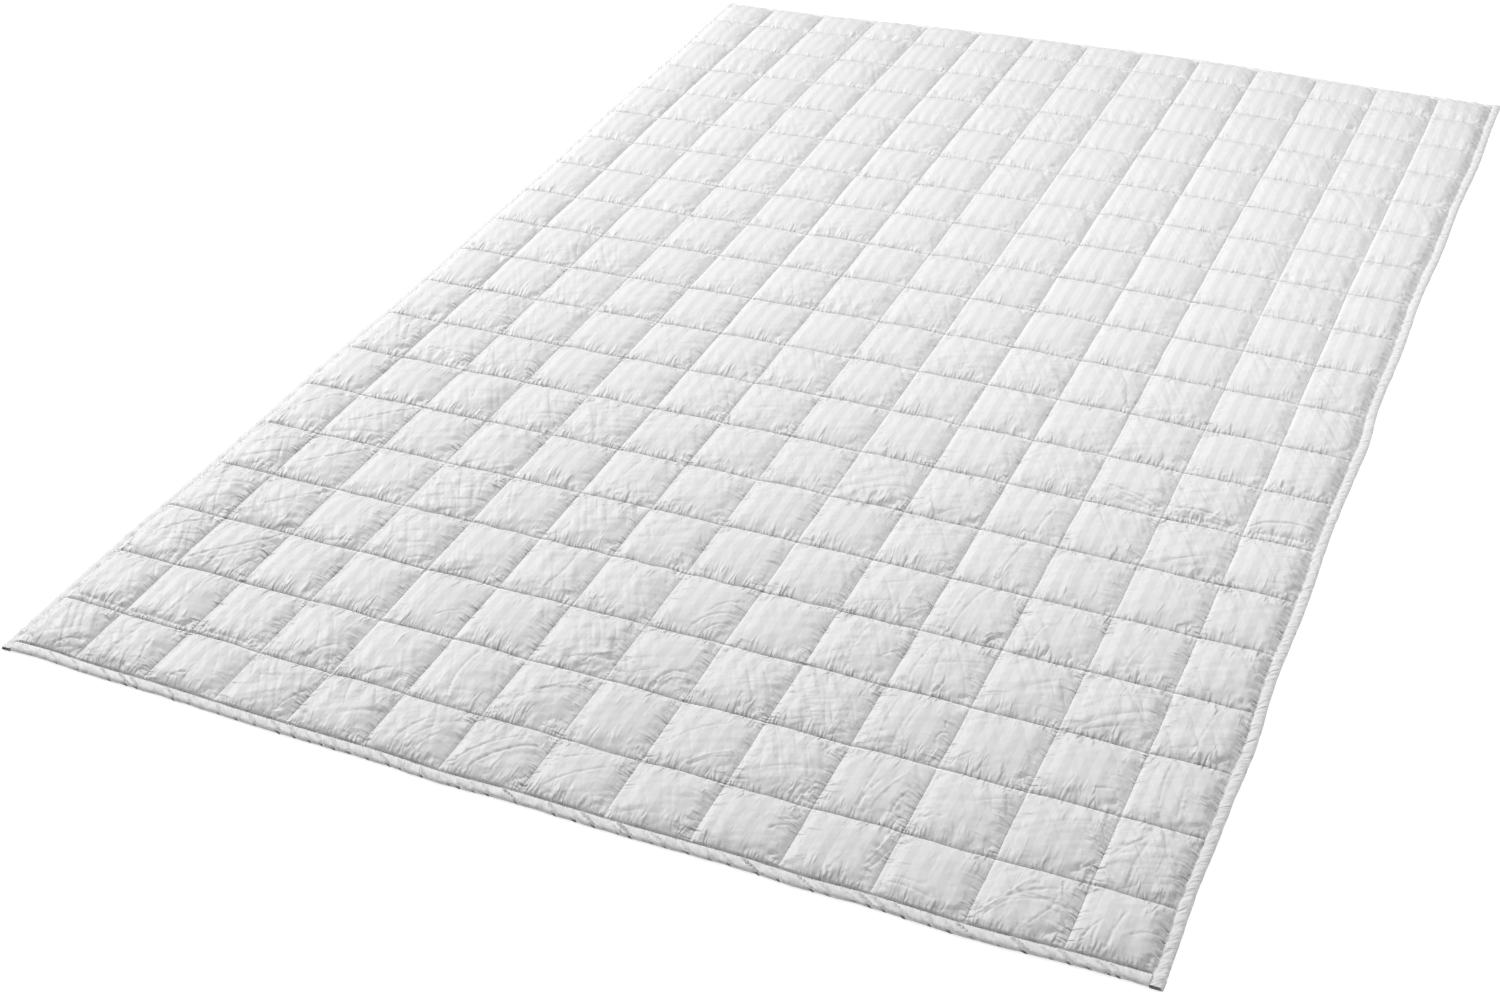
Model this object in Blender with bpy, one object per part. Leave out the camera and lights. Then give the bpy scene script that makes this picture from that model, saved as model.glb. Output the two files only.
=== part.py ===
"""A weighted blanket spread out flat: one quilted, filled cloth of square pockets, and the four
strips of folded tape that bind its edges. Metres, +Z up, origin under the middle of its box."""

import math

import bmesh
import bpy
from mathutils import Vector

# The blanket as it is cut and sewn, before it is spread out
COLUMNS, ROWS = 14, 20  # pockets across and along
POCKET = 0.100  # from one seam to the next
WIDTH, LENGTH = COLUMNS * POCKET, ROWS * POCKET

# The filled pockets: flat below, where they rest, and crowned above
SEAM_LOW, SEAM_TOP = 0.0017, 0.0043  # the cloth where it is sewn through
SHOULDER = 0.009  # how far from its seams a pocket has its steep part
SHOULDER_RISE = 0.0056
CROWN = 0.021  # from the shoulder to the flat top
CROWN_RISE = 0.0024
CORNERS_DRAWN_IN = 0.0025  # how much farther in the shoulder's corners are, and its middles out
CORNERS_LOWER = 0.0011
CHANNEL = 0.008  # half of the channel under a seam
UNEVEN_FILL = 0.07  # share by which one pocket is fuller than the next

# The tape round the edge
TAPE_WIDTH = 0.013  # of the folded strip
TAPE_HEIGHT = 0.0060
FOLD = 0.003  # how round the outer fold is
INNER_EDGE = 0.0052  # height where it is stitched down
GAP = 0.0003  # between the tape and what it is sewn to

# The sewn-flat margin of the quilt, which the tape holds
MARGIN = TAPE_WIDTH + 0.0012
LIP_EDGE = 0.003
GROOVE_END = LIP_EDGE - 0.001
GROOVE_LOW, GROOVE_TOP = SEAM_LOW - GAP, SEAM_TOP + GAP

# How the cloth lies: its rows arch away from the front, more so towards the far side
ARCH = 0.0125
ARCH_MIDDLE, ARCH_HALF_WIDTH = 0.76, 0.80

# The farthest row is drawn in by its filling
LAST_ROW_SHORT, LAST_ROW_REACH = 0.016, 0.075

# Places where it was pushed: across, along, how far that reaches, and the push in x and in y
PUSHES = (
    (0.08, 1.68, 0.20, 0.000, -0.005),
    (0.35, 1.60, 0.22, -0.005, 0.000),
    (0.06, 1.00, 0.40, 0.006, 0.000),
    (1.22, 1.98, 0.30, 0.006, 0.000),
    (1.40, 1.90, 0.32, 0.007, -0.005),
    (1.32, 1.55, 0.22, 0.003, -0.003),
    (1.40, 0.95, 0.05, 0.006, 0.000),
    (1.40, 0.20, 0.05, 0.004, 0.000),
    (0.75, 0.00, 0.45, 0.000, -0.005),
    (0.61, 0.00, 0.06, 0.000, -0.004),
    (1.03, 0.00, 0.05, 0.000, -0.006),
)

# Waves of the four edges: how far, how long each is, where it starts
EDGE_WAVES = {
    "left": (0.0016, 0.43, 0.10),
    "right": (0.0013, 0.29, 0.05),
    "front": (0.0010, 0.37, 0.20),
    "back": (0.0014, 0.47, 0.15),
}
EDGE_REACH = 0.06

WHITE_SATIN = (0.84, 0.84, 0.85, 1.0)
WHITE_TAPE = (0.86, 0.86, 0.86, 1.0)


def edge_wave(side, along, inward):
    """How far an edge sways where a point lies along it, dying out inwards."""
    reach, length, start = EDGE_WAVES[side]
    return reach * math.sin(math.tau * (along + start) / length) * math.exp(-inward / EDGE_REACH)


def lay(x, y):
    """Where a point of the flat, square-cut blanket lies once it has been spread out."""
    arch = math.cos(math.pi * (x - ARCH_MIDDLE) / ARCH_HALF_WIDTH)
    dx, dy = 0.0, ARCH * y / LENGTH * arch
    dy -= LAST_ROW_SHORT * math.exp(-(((LENGTH - y) / LAST_ROW_REACH) ** 2))
    for across, along, reach, push_x, push_y in PUSHES:
        near = math.exp(-((x - across) ** 2 + (y - along) ** 2) / reach**2)
        dx += near * push_x
        dy += near * push_y
    dx += edge_wave("left", y, x) + edge_wave("right", y, WIDTH - x)
    dy += edge_wave("front", x, y) + edge_wave("back", x, LENGTH - y)
    return x + dx, y + dy


def seam_lines(count, length):
    """The seams across one direction, with the outermost ones along the tape."""
    inner = [POCKET * number for number in range(1, count)]
    return [MARGIN, *inner, length - MARGIN]


def with_middles(lines):
    """The same lines with one halfway between each two."""
    halfway = [(a + b) / 2 for a, b in zip(lines, lines[1:])]
    return sorted(lines + halfway)


def pocket_grid(bm, height):
    """One face for each pocket, at the given height."""
    across, along = seam_lines(COLUMNS, WIDTH), seam_lines(ROWS, LENGTH)
    made = bmesh.ops.create_grid(bm, x_segments=COLUMNS, y_segments=ROWS, size=0.5)
    for vert in made["verts"]:
        column = round((vert.co.x + 0.5) * COLUMNS)
        row = round((vert.co.y + 0.5) * ROWS)
        vert.co = (across[column], along[row], height)
    return list({face for vert in made["verts"] for face in vert.link_faces})


def out_from_middle(place):
    """The direction from the middle of the pocket that a place lies in, in plan."""
    middle = []
    for lines, where in ((seam_lines(COLUMNS, WIDTH), place.x), (seam_lines(ROWS, LENGTH), place.y)):
        number = int(where // POCKET)
        middle.append((lines[number] + lines[number + 1]) / 2)
    out = place.xy - Vector(middle)
    return Vector((out.x, out.y, 0)).normalized()


def fullness(x, y):
    """How full the pocket round a point is, beside the usual one."""
    column, row = x // POCKET, y // POCKET
    return 1 + UNEVEN_FILL * math.sin(2.3 * column + 1.1 * row) * math.cos(0.7 * column - 1.9 * row)


def upper_side(bm):
    """The pockets' upper sides: steep shoulders, drawn in at the corners, and a low crown."""
    tops = pocket_grid(bm, SEAM_TOP)
    steep = bmesh.ops.inset_individual(bm, faces=tops, thickness=SHOULDER, depth=SHOULDER_RISE)
    gentle = bmesh.ops.inset_individual(bm, faces=tops, thickness=CROWN, depth=CROWN_RISE)
    steep, gentle = set(steep["faces"]), set(gentle["faces"])
    rim = {
        edge
        for face in steep
        for edge in face.edges
        if any(other in gentle for other in edge.link_faces)
    }
    for vert in {vert for edge in rim for vert in edge.verts}:
        vert.co -= out_from_middle(vert.co) * CORNERS_DRAWN_IN + Vector((0, 0, CORNERS_LOWER))
    split = bmesh.ops.subdivide_edges(bm, edges=list(rim), cuts=1)["geom_inner"]
    for vert in (item for item in split if isinstance(item, bmesh.types.BMVert)):
        vert.co += out_from_middle(vert.co) * CORNERS_DRAWN_IN + Vector((0, 0, CORNERS_LOWER))
    for vert in bm.verts:
        vert.co.z = SEAM_TOP + (vert.co.z - SEAM_TOP) * fullness(vert.co.x, vert.co.y)


def under_side(bm):
    """The pockets' undersides, flat on what they lie on, with a channel under each seam."""
    below = pocket_grid(bm, SEAM_LOW)
    bmesh.ops.reverse_faces(bm, faces=below)
    bmesh.ops.inset_individual(bm, faces=below, thickness=CHANNEL, depth=SEAM_LOW)
    for vert in {vert for face in below for vert in face.verts}:
        vert.co.z = 0.0


def outwards(place, length):
    """A place on the outermost seam, moved out to the margin's cut edge."""
    if place < MARGIN + GAP:
        return LIP_EDGE
    if place > length - MARGIN - GAP:
        return length - LIP_EDGE
    return place


def margin(bm):
    """Closes the quilt with the thin margin round it that the tape takes in."""
    rim = [edge for edge in bm.edges if edge.is_boundary]
    bmesh.ops.subdivide_edges(bm, edges=rim, cuts=1)
    rim = [edge for edge in bm.edges if edge.is_boundary]
    made = bmesh.ops.extrude_edge_only(bm, edges=rim)["geom"]
    for vert in (item for item in made if isinstance(item, bmesh.types.BMVert)):
        vert.co.x = outwards(vert.co.x, WIDTH)
        vert.co.y = outwards(vert.co.y, LENGTH)
    cut_edge = [edge for edge in bm.edges if edge.is_boundary]
    bmesh.ops.bridge_loops(bm, edges=cut_edge)


def finished(name, bm, material):
    """The object for a mesh, once its points have been laid where the spread cloth has them."""
    for vert in bm.verts:
        vert.co.x, vert.co.y = lay(vert.co.x, vert.co.y)
    bmesh.ops.recalc_face_normals(bm, faces=bm.faces)
    mesh = bpy.data.meshes.new(name)
    bm.to_mesh(mesh)
    bm.free()
    mesh.shade_smooth()
    mesh.set_sharp_from_angle(angle=math.radians(50))
    mesh.materials.append(material)
    made = bpy.data.objects.new(name, mesh)
    bpy.context.scene.collection.objects.link(made)
    return made


def quilt():
    """The blanket's body, one filled solid with its pockets and sewn channels."""
    bm = bmesh.new()
    upper_side(bm)
    below = bmesh.new()
    under_side(below)
    joined = bpy.data.meshes.new("under_side")
    below.to_mesh(joined)
    below.free()
    bm.from_mesh(joined)
    bpy.data.meshes.remove(joined)
    margin(bm)
    return finished("quilt", bm, cloth("satin_cotton", WHITE_SATIN, 0.55))


def tape_outline():
    """The folded tape's outer outline in (distance in from its fold, height)."""
    half = TAPE_HEIGHT / 2
    turns = [math.radians(angle) for angle in (-90, -45, 0, 45, 90)]
    fold = [(FOLD - FOLD * math.cos(turn), half + half * math.sin(turn)) for turn in turns]
    return [(TAPE_WIDTH, 0.0), *fold, (TAPE_WIDTH, INNER_EDGE)]


def tape_ring(bm, place, along, grooved):
    """The points of one section of tape. The first and last of its groove are the mouth's."""
    mouth = [(TAPE_WIDTH, GROOVE_TOP), (TAPE_WIDTH, GROOVE_LOW)]
    deep = [(GROOVE_END, GROOVE_TOP), (GROOVE_END, GROOVE_LOW)] if grooved else []
    outline = tape_outline() + mouth[:1] + deep + mouth[1:]
    return [bm.verts.new((*place(inward, along), height)) for inward, height in outline]


def joined_rings(bm, first, second):
    """Faces from one section to the next, with as many points in both."""
    for here in range(len(first)):
        after = (here + 1) % len(first)
        bm.faces.new((first[here], first[after], second[after], second[here]))


def tape_end(bm, place, along, ring):
    """Closes a strip past its last grooved section, where the tape is folded in at the corner."""
    around = len(tape_outline())
    groove = ring[around:]
    bm.faces.new(groove)
    end = tape_ring(bm, place, along, grooved=False)
    joined_rings(bm, ring[:around] + [groove[0], groove[-1]], end)
    bm.faces.new(end)


def binding(name, place, stations, folded_in):
    """One strip of tape, folded round the margin, through sections at the given stations."""
    bm = bmesh.new()
    rings = [tape_ring(bm, place, along, grooved=True) for along in stations]
    for first, second in zip(rings, rings[1:]):
        joined_rings(bm, first, second)
    if folded_in:
        tape_end(bm, place, stations[0] - GROOVE_END, rings[0])
        tape_end(bm, place, stations[-1] + GROOVE_END, rings[-1])
    else:
        bm.faces.new(rings[0])
        bm.faces.new(rings[-1])
    return finished(name, bm, cloth(name + "_tape", WHITE_TAPE, 0.7))


def bindings():
    """The side strips run past the corners and are folded in there; the others butt on them."""
    across = with_middles(seam_lines(COLUMNS, WIDTH))
    along = with_middles(seam_lines(ROWS, LENGTH))
    butt = TAPE_WIDTH + GAP
    across[0], across[-1] = butt, WIDTH - butt
    along[0], along[-1] = GROOVE_END, LENGTH - GROOVE_END
    return [
        binding("binding_front", lambda inward, place: (place, inward), across, False),
        binding("binding_back", lambda inward, place: (place, LENGTH - inward), across, False),
        binding("binding_left", lambda inward, place: (inward, place), along, True),
        binding("binding_right", lambda inward, place: (WIDTH - inward, place), along, True),
    ]


def cloth(name, colour, roughness):
    """A plain white cloth."""
    material = bpy.data.materials.new(name)
    material.use_nodes = True
    shader = material.node_tree.nodes["Principled BSDF"]
    shader.inputs["Base Color"].default_value = colour
    shader.inputs["Roughness"].default_value = roughness
    shader.inputs["Metallic"].default_value = 0.0
    return material


def centred(objects):
    """Moves the points of all pieces so that the origin is under the middle of their box."""
    points = [vert.co for piece in objects for vert in piece.data.vertices]
    middle = [(min(p[axis] for p in points) + max(p[axis] for p in points)) / 2 for axis in (0, 1)]
    for point in points:
        point.x -= middle[0]
        point.y -= middle[1]


for old in list(bpy.data.objects):
    bpy.data.objects.remove(old)
centred([quilt(), *bindings()])
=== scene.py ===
"""A quilted weighted blanket in white satin-stripe cotton, spread out flat on a pale floor."""

import math

import bmesh
import bpy
import numpy as np
from mathutils import Matrix, Vector


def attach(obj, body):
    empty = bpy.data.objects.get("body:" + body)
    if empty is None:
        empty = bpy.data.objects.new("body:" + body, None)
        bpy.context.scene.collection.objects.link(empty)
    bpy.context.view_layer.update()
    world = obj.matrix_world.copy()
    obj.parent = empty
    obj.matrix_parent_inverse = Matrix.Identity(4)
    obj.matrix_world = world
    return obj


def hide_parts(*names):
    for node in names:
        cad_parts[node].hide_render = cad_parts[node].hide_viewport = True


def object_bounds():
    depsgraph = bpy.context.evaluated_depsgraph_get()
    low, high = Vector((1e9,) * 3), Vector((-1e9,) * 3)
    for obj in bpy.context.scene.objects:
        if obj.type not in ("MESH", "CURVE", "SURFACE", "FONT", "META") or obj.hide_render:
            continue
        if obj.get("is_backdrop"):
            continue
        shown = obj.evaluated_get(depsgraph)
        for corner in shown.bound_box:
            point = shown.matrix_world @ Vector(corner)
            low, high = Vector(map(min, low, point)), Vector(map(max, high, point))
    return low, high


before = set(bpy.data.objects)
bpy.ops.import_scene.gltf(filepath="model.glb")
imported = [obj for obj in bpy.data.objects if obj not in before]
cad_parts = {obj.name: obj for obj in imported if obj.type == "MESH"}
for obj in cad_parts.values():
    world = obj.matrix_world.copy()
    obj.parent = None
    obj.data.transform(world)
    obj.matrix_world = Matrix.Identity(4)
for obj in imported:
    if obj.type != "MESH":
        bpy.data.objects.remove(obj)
cad_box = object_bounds()

# ------------------------------------------------------------
# The blanket's sizes, in metres, the same as in the part
# ------------------------------------------------------------
COLUMNS, ROWS = 14, 20
POCKET = 0.100
WIDTH, LENGTH = COLUMNS * POCKET, ROWS * POCKET
SEAM_LOW, SEAM_TOP = 0.0017, 0.0043
UNEVEN_FILL = 0.07
TAPE_WIDTH = 0.013
GAP = 0.0003
MARGIN = TAPE_WIDTH + 0.0012
LIP_EDGE = 0.003
GROOVE_END = LIP_EDGE - 0.001
GROOVE_LOW, GROOVE_TOP = SEAM_LOW - GAP, SEAM_TOP + GAP
ARCH = 0.0125
ARCH_MIDDLE, ARCH_HALF_WIDTH = 0.76, 0.80
LAST_ROW_SHORT, LAST_ROW_REACH = 0.016, 0.075
MIDDLE = (0.7047, 0.9944)  # of the laid blanket, where the frame has its origin

# Places where it was pushed: across, along, how far that reaches, and the push in x and in y
PUSHES = (
    (0.08, 1.68, 0.20, 0.000, -0.005),
    (0.35, 1.60, 0.22, -0.005, 0.000),
    (0.06, 1.00, 0.40, 0.006, 0.000),
    (1.22, 1.98, 0.30, 0.006, 0.000),
    (1.40, 1.90, 0.32, 0.007, -0.005),
    (1.32, 1.55, 0.22, 0.003, -0.003),
    (1.40, 0.95, 0.05, 0.003, 0.000),
    (1.40, 0.36, 0.07, 0.003, 0.000),
    (1.40, 0.20, 0.05, 0.002, 0.000),
    (0.75, 0.00, 0.45, 0.000, -0.005),
    (0.61, 0.00, 0.06, 0.000, -0.004),
    (1.03, 0.00, 0.05, 0.000, -0.003),
    (1.21, 0.00, 0.08, 0.000, -0.003),
    (0.33, 0.00, 0.10, 0.000, -0.002),
    (0.06, 0.00, 0.05, 0.000, 0.003),
)
# Waves of the four edges: how far, how long each is, where it starts
EDGE_WAVES = {
    "left": (0.0016, 0.43, 0.10),
    "right": (0.0013, 0.29, 0.05),
    "front": (0.0010, 0.37, 0.20),
    "back": (0.0014, 0.47, 0.15),
}
EDGE_REACH = 0.06

# How finely the pockets are made
TRIAL = 36  # squares along one side of a pocket where it is blown up
MESH = 30  # and where it is shown from above, closer together beside the seams
UNDER = (0, 1, 3, 7, 11, 15, 19, 23, 27, 29)  # those of its lines that the underside has too
PANEL_ROWS = 4  # rows of pockets in one piece of the quilt
PINCH, PINCH_REACH = 0.0024, 0.0009  # how deep and how wide the cross seams draw the cloth in
SHALLOWER = 0.62  # the share of that depth by which the lengthwise seams stay higher
DOME, ROUNDED = 0.0092, 3.3  # how far a pocket's cloth rises from there, and how soon
FOLD_DEPTH = 1.5  # how much deeper the pressed folds are made than their table says
WRINKLES, WRINKLE_START = 2.3, 0.010  # how strong the simulated wrinkles are, and where they begin
FINE_REACH = 0.0024  # how far beside a pressed fold the cloth is made finer

# Stitches
PITCH = 0.004  # from one stitch to the next
STITCH_SHARE = 0.84  # how much of that a stitch is long
THREAD = 0.0005
STRIPES = 0.0209  # from one satin stripe to the next

rng = np.random.default_rng(20)


def edge_wave(side, along, inward):
    """How far an edge sways where points lie along it, dying out inwards."""
    reach, length, start = EDGE_WAVES[side]
    return reach * np.sin(math.tau * (along + start) / length) * np.exp(-inward / EDGE_REACH)


def laid(x, y):
    """Where points of the flat, square-cut blanket lie once it has been spread out."""
    dx = edge_wave("left", y, x) + edge_wave("right", y, WIDTH - x)
    dy = edge_wave("front", x, y) + edge_wave("back", x, LENGTH - y)
    dy = dy + ARCH * y / LENGTH * np.cos(math.pi * (x - ARCH_MIDDLE) / ARCH_HALF_WIDTH)
    dy = dy - LAST_ROW_SHORT * np.exp(-(((LENGTH - y) / LAST_ROW_REACH) ** 2))
    for across, along, reach, push_x, push_y in PUSHES:
        near = np.exp(-((x - across) ** 2 + (y - along) ** 2) / reach**2)
        dx, dy = dx + near * push_x, dy + near * push_y
    return x + dx - MIDDLE[0], y + dy - MIDDLE[1]


def seam_lines(count, length):
    """The seams across one direction, with the outermost ones along the tape."""
    return np.array([MARGIN, *(POCKET * number for number in range(1, count)), length - MARGIN])


ACROSS, ALONG = seam_lines(COLUMNS, WIDTH), seam_lines(ROWS, LENGTH)


def wander(lines, reach):
    """For each seam the waves by which it strays from a straight line: size, length, start."""
    size = rng.uniform(0.3, 1.0, (len(lines), 4)) * reach
    size[0] = size[-1] = 0.0
    return size, rng.uniform(0.05, 0.22, size.shape), rng.uniform(0, 1, size.shape)


STRAY_ALONG = wander(ACROSS, 0.00025)
STRAY_ACROSS = wander(ALONG, 0.00055)


def stray(waves, lines, place, along):
    """How far points beside wandering seams stray with them, from one seam to the next."""
    number = np.clip(np.searchsorted(lines, place, side="right") - 1, 0, len(lines) - 2)
    share = np.clip((place - lines[number]) / (lines[number + 1] - lines[number]), 0, 1)
    size, length, start = waves
    total = 0.0
    for which, weight in ((number, 1 - share), (number + 1, share)):
        phase = math.tau * (along[..., None] / length[which] + start[which])
        total = total + weight * (size[which] * np.sin(phase)).sum(-1)
    return total


def spread(x, y):
    """Where points of the sewn blanket lie, with the wandering of its seams."""
    x, y = np.asarray(x, float), np.asarray(y, float)
    inside = np.clip(np.minimum(x, WIDTH - x) / 0.03, 0, 1) * np.clip(np.minimum(y, LENGTH - y) / 0.03, 0, 1)
    dx = stray(STRAY_ALONG, ACROSS, x, y) * inside
    dy = stray(STRAY_ACROSS, ALONG, y, x) * inside
    return laid(x + dx, y + dy)


# ------------------------------------------------------------
# Meshes
# ------------------------------------------------------------
def new_piece(name, points, faces, maps=()):
    """A smooth piece from its points and faces. Each map has a place in it for every point."""
    mesh = bpy.data.meshes.new(name)
    mesh.from_pydata(np.asarray(points).tolist(), [], faces)
    corner = np.zeros(len(mesh.loops), int)
    mesh.loops.foreach_get("vertex_index", corner)
    for label, places in maps:
        layer = mesh.uv_layers.new(name=label)
        layer.data.foreach_set("uv", np.asarray(places)[corner].astype(np.float32).ravel())
    mesh.shade_smooth()
    mesh.update()
    piece = bpy.data.objects.new(name, mesh)
    bpy.context.scene.collection.objects.link(piece)
    return piece


def grid_faces(index):
    """The squares between the points of a grid, facing up where rows go along and columns across."""
    corners = (index[:-1, :-1], index[:-1, 1:], index[1:, 1:], index[1:, :-1])
    return np.stack([corner.ravel() for corner in corners], 1).tolist()


# ------------------------------------------------------------
# The filled pockets
# ------------------------------------------------------------
def rise(share):
    """How a pocket's cloth comes up from 0 at a seam to 1 in its middle."""
    return 1 - (1 - 2 * np.minimum(share, 1 - share)) ** ROUNDED


def blown_up(count=4):
    """Pockets of cloth a little longer than their frame of seams, blown up by their filling.

    They come as moves from the flat cloth, one square array of points for each pocket."""
    side = count * TRIAL + 1
    steps = np.arange(side) / TRIAL
    u, v = np.meshgrid(steps, steps)
    inward = np.minimum.reduce([u % 1, -u % 1, v % 1, -v % 1])
    flat = np.stack([u * POCKET, v * POCKET, 0 * u], -1)
    start = flat.copy()
    start[..., 2] = 0.004 * np.clip(inward * 8, 0, 1)
    start[..., 2] += (inward > 1e-6) * rng.normal(0, 0.0003, u.shape)
    index = np.arange(u.size).reshape(u.shape)
    piece = new_piece("pockets", start.reshape(-1, 3), grid_faces(index))
    pinned = piece.vertex_groups.new(name="seams")
    pinned.add(np.nonzero(inward.ravel() < 1e-6)[0].tolist(), 1.0, "REPLACE")
    modifier = piece.modifiers.new("cloth", "CLOTH")
    cloth = modifier.settings
    cloth.quality, cloth.mass, cloth.air_damping = 6, 0.3, 4
    cloth.tension_stiffness = cloth.compression_stiffness = 15
    cloth.shear_stiffness, cloth.bending_stiffness = 5, 0.7
    cloth.tension_damping = cloth.compression_damping = cloth.shear_damping = 5
    cloth.bending_damping = 0.5
    cloth.vertex_group_mass = "seams"
    cloth.shrink_min = -0.027
    cloth.use_pressure, cloth.uniform_pressure_force = True, 60
    cloth.effector_weights.gravity = 0
    modifier.collision_settings.use_collision = False
    modifier.collision_settings.use_self_collision = False
    modifier.point_cache.frame_end = 36
    for number in range(1, 37):
        bpy.context.scene.frame_set(number)
    shown = piece.evaluated_get(bpy.context.evaluated_depsgraph_get())
    moved = np.zeros(u.size * 3)
    shown.to_mesh().vertices.foreach_get("co", moved)
    shown.to_mesh_clear()
    moved = moved.reshape(flat.shape)
    bpy.context.scene.frame_set(1)
    bpy.data.objects.remove(piece)
    moves = moved - flat
    return [
        moves[a * TRIAL : (a + 1) * TRIAL + 1, b * TRIAL : (b + 1) * TRIAL + 1]
        for a in range(count)
        for b in range(count)
    ]


def usual_pocket(bank):
    """The height that all the blown-up pockets have on average, the same from every side."""
    mean = sum(moves[..., 2] for moves in bank) / len(bank)
    mean = (mean + mean.T) / 2
    mean = (mean + mean[::-1]) / 2
    return (mean + mean[:, ::-1]) / 2


def pocket_shares():
    """Where a pocket's lines of points lie across it, closer together beside its seams."""
    half = 0.5 * np.linspace(0, 1, MESH // 2 + 1) ** 1.4
    return np.concatenate([half, 1 - half[-2::-1]])


SHARES = pocket_shares()


def resampled(square):
    """A pocket's values at its lines of points, from those of its trial."""
    here, there = np.arange(TRIAL + 1) / TRIAL, SHARES
    once = np.stack([np.interp(there, here, line) for line in square], 0)
    return np.stack([np.interp(there, here, line) for line in once.T], 1)


def drawn_in(from_cross, from_length):
    """How high the cloth stands over the stitches beside a cross seam and a lengthwise one."""
    out_across, out_along = (1 - np.exp(-away / PINCH_REACH) for away in (from_cross, from_length))
    return PINCH * out_across * (SHALLOWER + (1 - SHALLOWER) * out_along)


def pocket_moves(bank, usual, column, row):
    """One pocket's moves from the flat cloth: one of the blown-up ones, turned and mirrored."""
    choice = np.random.default_rng(100 * row + column)
    moves = bank[choice.integers(len(bank))].copy()
    moves[..., 2] -= usual
    if choice.random() < 0.5:
        moves = moves.transpose(1, 0, 2)[..., [1, 0, 2]]
    if choice.random() < 0.5:
        moves = moves[:, ::-1] * (-1, 1, 1)
    if choice.random() < 0.5:
        moves = moves[::-1] * (1, -1, 1)
    moves = np.stack([resampled(moves[..., axis]) for axis in range(3)], -1)
    edge = np.minimum(SHARES, 1 - SHARES)
    inward = np.minimum.outer(edge, edge)
    fullness = 1 + UNEVEN_FILL * math.sin(2.3 * column + 1.1 * row) * math.cos(0.7 * column - 1.9 * row)
    height = DOME * fullness * np.outer(rise(SHARES), rise(SHARES))
    off_seam = np.clip(inward * POCKET / WRINKLE_START, 0, 1)
    height += WRINKLES * choice.uniform(0.6, 1.2) * moves[..., 2] * off_seam
    height += drawn_in(edge[:, None] * POCKET, edge[None, :] * POCKET)
    return np.dstack([moves[..., :2], np.maximum(height, 0)])


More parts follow.
